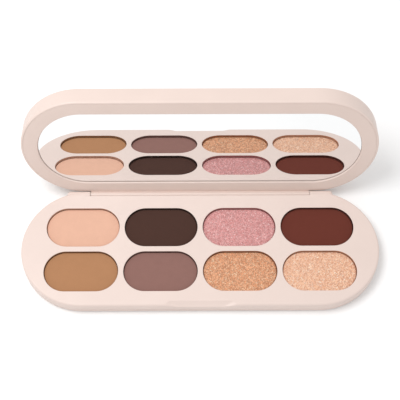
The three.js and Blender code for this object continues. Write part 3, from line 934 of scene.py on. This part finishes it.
def mirror_well(profile):
    """A capsule round the place of the mirror, with extra room on the hinge side."""
    length = mirror_high.x - mirror_low.x + 2 * MIRROR_PLAY
    depth = mirror_high.y - mirror_low.y + 2 * MIRROR_PLAY + MIRROR_SLACK
    centre = (0, (mirror_low.y + mirror_high.y + MIRROR_SLACK) / 2)
    return loft("mirror_well", rings(length, depth, profile, centre=centre))


def lid_frame():
    """The flat rim, with a tray for the mirror, two magnet bosses and the hinge tongue."""
    in_rim = RIM_Z + RIM_THICKNESS / 2
    ceiling = tape_top + THIN_GAP
    made = flange(LID_LIP + LIP_GAP, LIP_INNER_EDGE)
    gate = lid_gate(TONGUE_HALF, RIM_Z - BEYOND, RIM_TOP_Z + BEYOND)
    rear = combine(flange(0, RIM_EDGE), gate, "INTERSECT")
    nest = mirror_well([(-NEST_WALL, in_rim), (-NEST_WALL, ceiling + FRAME_FLOOR)])
    inner_y = mirror_low.y - MIRROR_PLAY
    outer_y = LID_WALL + GAP - LID_DEPTH / 2
    magnets = [closed_box("lid_magnet_left"), closed_box("lid_magnet_right")]
    bosses = [magnet_boss(*magnet, inner_y, outer_y, in_rim, magnet[1].z) for magnet in magnets]
    join(made, rear, skirt(in_rim), nest, tongue(), *bosses)
    mouth = bend(-MOUTH_EDGE, RIM_Z + MOUTH_EDGE, MOUTH_EDGE, -MOUTH_ANGLE, 0, MIRROR_MOUTH_STEPS)
    recess = mirror_well([(-MOUTH_EDGE, RIM_Z - OVERSHOOT), *mouth, (0, ceiling)])
    cut(made, recess, bore(-1), bore(1))
    cut(made, *[magnet_pocket(*magnet, RIM_TOP_Z, RIM_TOP_Z + BEYOND) for magnet in magnets])
    return made


def mirror():
    """The mirror, with a narrow bevel round its front."""
    length = mirror_high.x - mirror_low.x + 2 * MIRROR_GROWTH
    depth = mirror_high.y - mirror_low.y + 2 * MIRROR_GROWTH
    middle_in, middle_up = BEVEL_MIDDLE
    profile = [
        (MIRROR_EDGE, mirror_low.z),
        (middle_in * MIRROR_EDGE, mirror_low.z + middle_up * MIRROR_BEVEL),
        (0, mirror_low.z + MIRROR_BEVEL),
        (0, mirror_high.z - MIRROR_EDGE),
        (MIRROR_EDGE, mirror_high.z),
    ]
    return loft("mirror", rings(length, depth, profile, centre=(0, (mirror_low.y + mirror_high.y) / 2)))


# ---- Assembly ----

def paint_wells(tray):
    """Gives the wall of each well its own powder stain and painted shade. Slot 0 is the plastic."""
    wells = every_well()
    for face in tray.data.polygons:
        x, y, z = face.center / MM
        inside_plate = PLATE_Z + THIN_GAP < z < TOP_Z - PAINTED_EDGE * WELL_EDGE
        upright = abs(face.normal.z) <= UPRIGHT
        if not upright or not inside_plate:
            continue
        for index, (name, centre) in enumerate(wells):
            away_x = abs(x - centre[0]) - WELL_LENGTH / 2
            away_y = abs(y - centre[1]) - WELL_DEPTH / 2
            if max(away_x, away_y) < BITE:
                face.material_index = index + 1


def make_base(plastic):
    # Each well's wall gets its own powder stain and painted shade, darker than the powder.
    walls = [dusted_and_shaded_wall(f"{name}_dust_and_shade", BASE_COLOUR, powder_colour(name)) for name, centre in every_well()]
    tray = piece(base_tray(), "base", [plastic, *walls], ["base_tray"])
    tray.name = "tray_moulding"
    paint_wells(tray)
    cover = piece(base_cover(), "base", plastic, ["base_bottom"])
    cover.name = "bottom_cover"
    for name, centre in every_well():
        powder = piece(cake(name, centre), "base", powder_look(name), [name])
        powder.name = name.replace("shade", "powder")


def make_lid(plastic):
    for name, make, slot, look, node in (
        ("lid_cover", lid_shell, "lid_plastic", plastic, "lid_shell"),
        ("mirror_frame", lid_frame, "lid_plastic", plastic, "lid_frame"),
        ("mirror_glass", mirror, "mirror", silvered_glass("mirror_glass"), "mirror"),
    ):
        made = piece(make(), "lid", look, [node], turn=OPENING)
        made.name = name


def finish_cad_nodes():
    """The small hidden pieces keep their CAD shape and get real finishes. The first start that fits wins."""
    tinplate = drawn_metal("tinplate", (0.62, 0.62, 0.61), 0.32)
    nickel = drawn_metal("nickel", (0.55, 0.545, 0.53), 0.25)
    steel = drawn_metal("pin_steel", (0.5, 0.5, 0.5), 0.22)
    foam = foam_tape("pad_foam", (0.86, 0.85, 0.81))
    tape = foam_tape("mirror_tape", (0.88, 0.87, 0.84))
    paper = label_paper("label_paper", (0.86, 0.82, 0.78))
    looks = (("pan_pad", foam), ("pan", tinplate), ("hinge_pin", steel), ("mirror_adhesive", tape),
             ("bottom_label", paper), ("base_magnet", nickel), ("lid_magnet", nickel))
    for name, node in frame["nodes"].items():
        for start, look in looks:
            if name.startswith(start):
                node.data.materials.clear()
                node.data.materials.append(look)
                break


make_camera()
make_world()
make_key()
make_floor()
make_base(moulded_plastic("base_plastic", BASE_COLOUR))
make_lid(moulded_plastic("lid_plastic", LID_COLOUR))
finish_cad_nodes()
